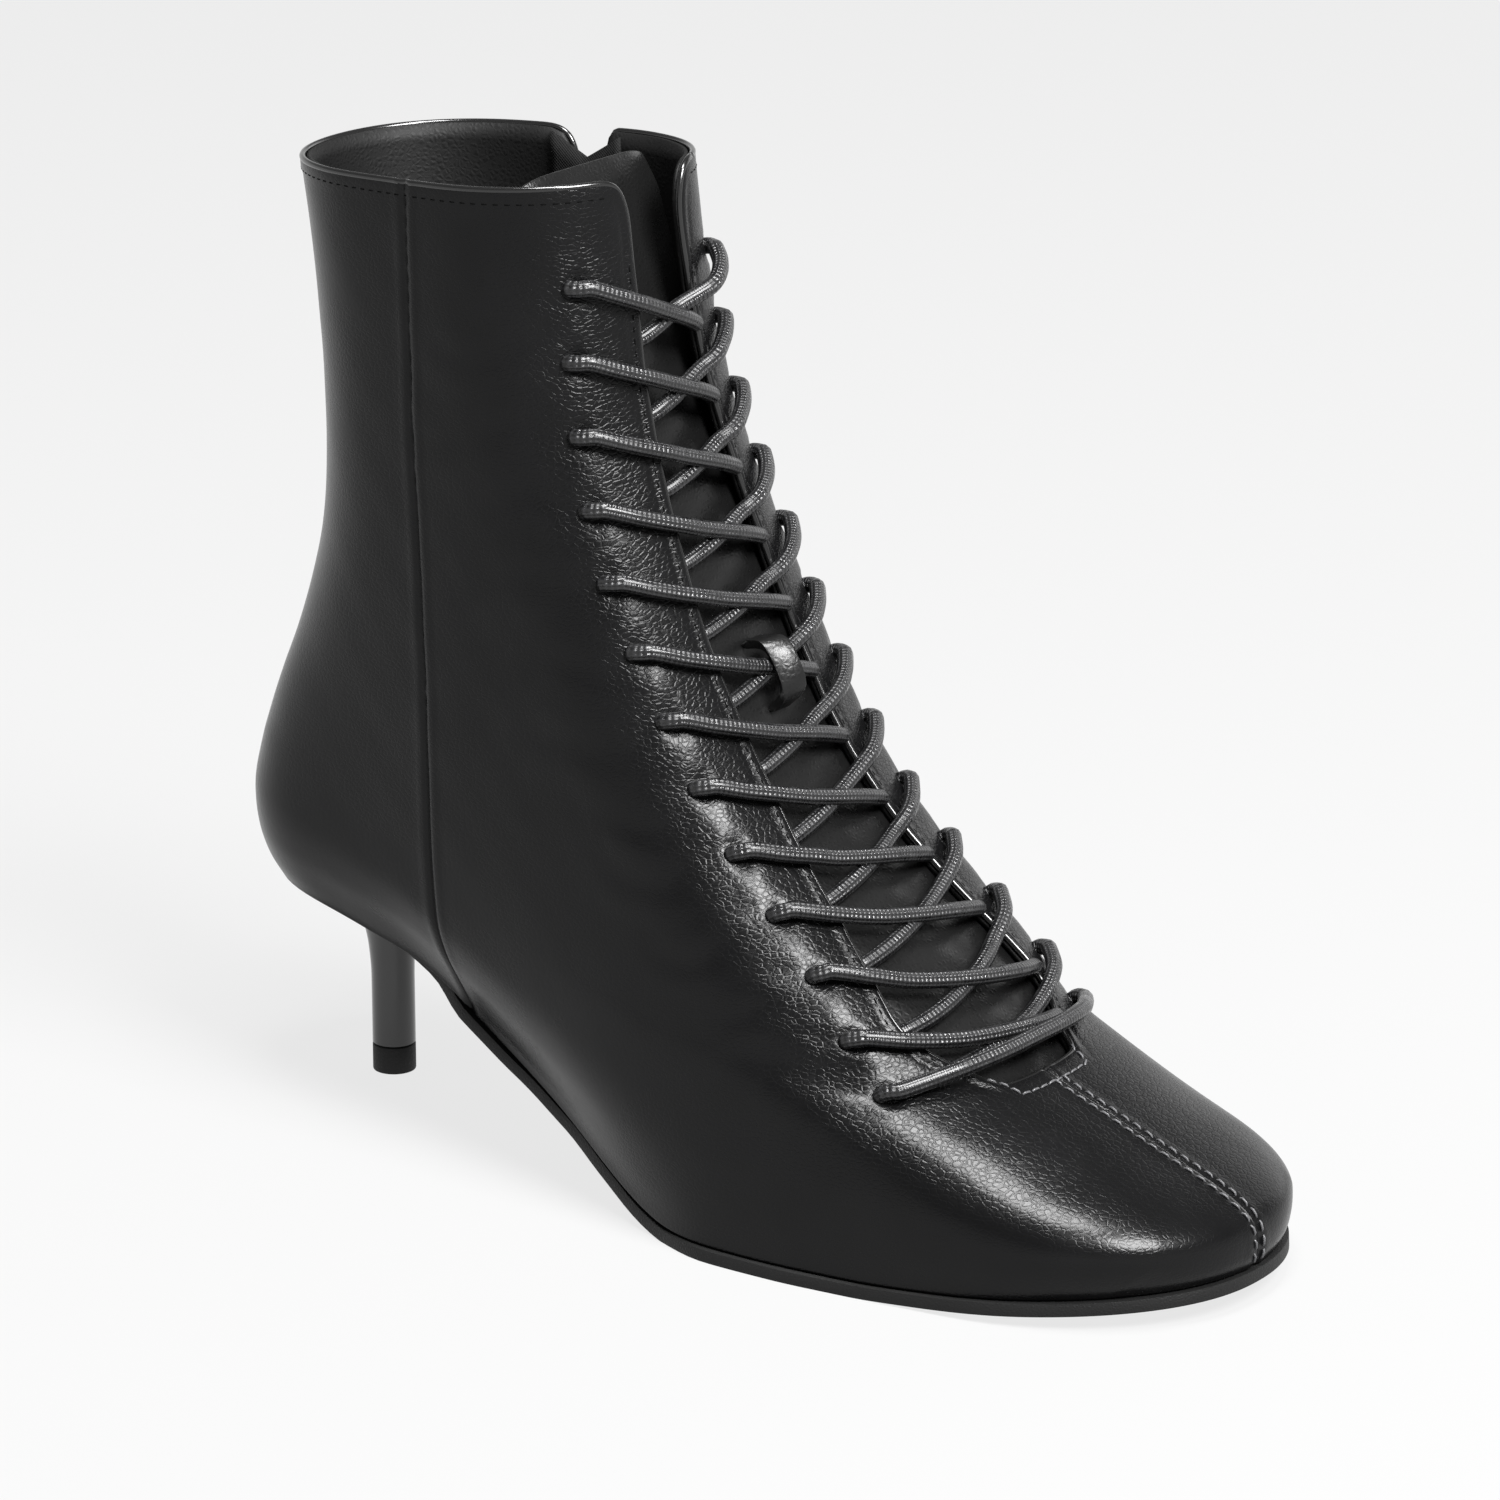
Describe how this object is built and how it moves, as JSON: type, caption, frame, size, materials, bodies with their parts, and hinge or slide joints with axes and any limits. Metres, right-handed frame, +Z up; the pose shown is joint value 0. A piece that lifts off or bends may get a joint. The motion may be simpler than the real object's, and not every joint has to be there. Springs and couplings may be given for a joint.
{
  "type": "lace up ankle boot",
  "caption": "Right-foot ankle boot in smooth black leather with a front lacing, a medial zip and a slim kitten heel",
  "frame": {"origin": "centre of the heel tip's face on the floor", "axes": "+X to the toe, +Y to the medial side (the wearer's left), +Z up"},
  "size_m": [0.2448, 0.0942, 0.2048],
  "materials": {
    "leather": "smooth black leather with a fine grain and a soft gloss",
    "tongue_leather": "pebbled black leather",
    "rubber": "satin black sole",
    "heel_gloss": "gloss black heel",
    "lining": "dark lining",
    "cord": "round waxed braided lace",
    "zip_cloth": "woven tape",
    "zip_coil": "spiral coil",
    "zip_metal": "black enamelled slider and pull"
  },
  "bodies": {
    "boot": {"upper": "leather", "tongue": "tongue_leather", "tongue_loop": "leather", "outsole": "rubber", "heel_tip": "rubber", "heel": "heel_gloss", "insole": "lining", "zip_tape": "zip_cloth", "zip_coil": "zip_coil", "zip_slider": "zip_metal", "lace_cross_01": "cord", "lace_cross_02": "cord", "lace_cross_03": "cord", "lace_cross_04": "cord", "lace_cross_05": "cord", "lace_cross_06": "cord", "lace_cross_07": "cord", "lace_cross_08": "cord", "lace_cross_09": "cord", "lace_cross_10": "cord", "lace_cross_11": "cord", "lace_cross_12": "cord", "lace_bar": "cord"},
    "pull_tab": {"zip_pull_tab": "zip_metal"}
  },
  "joints": [
    {"name": "pull_tab_swing", "type": "hinge", "parent": "boot", "child": "pull_tab", "pos_m": [0.03179, 0.03443, 0.18411], "axis": [0.9946, 0.0998, 0.0266], "range_deg": [0, 165]}
  ]
}
